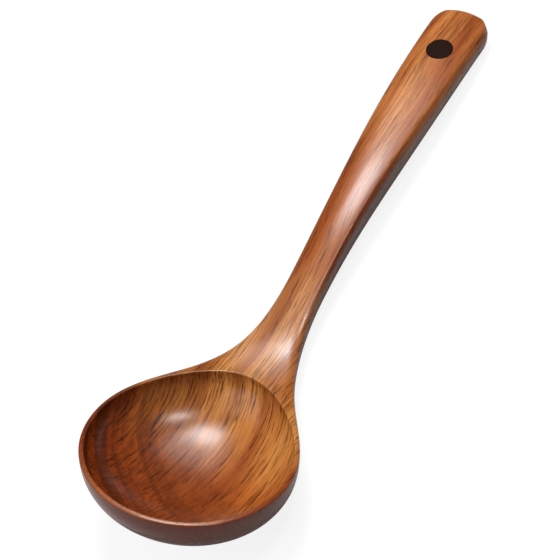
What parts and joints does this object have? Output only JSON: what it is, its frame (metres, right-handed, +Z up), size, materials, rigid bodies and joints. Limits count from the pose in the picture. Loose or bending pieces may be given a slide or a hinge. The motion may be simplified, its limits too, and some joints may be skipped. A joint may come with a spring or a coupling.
{
  "type": "wooden soup ladle",
  "caption": "Soup spoon of the ladle kind carved from one plank, with an egg-shaped bowl, flared neck, rising handle and a round dark-wood inlay near its end.",
  "frame": {"origin": "under the middle of the spoon's box, on the table that it rests on", "axes": "+X along the spoon from the bowl's toe to the handle's end, +Y to the left when looking from the toe towards the handle's end, +Z up; the spoon lies as it does on a table, on the bowl's underside and the heel of the handle"},
  "size_m": [0.2732, 0.085, 0.0458],
  "materials": {
    "lacquered_wood": "stained reddish brown with a glossy clear lacquer",
    "dark_wood": "dark brown end grain, lacquered flush with the handle"
  },
  "bodies": {
    "root": {"carved_spoon": "lacquered_wood", "inlay_dowel": "dark_wood"}
  },
  "joints": []
}
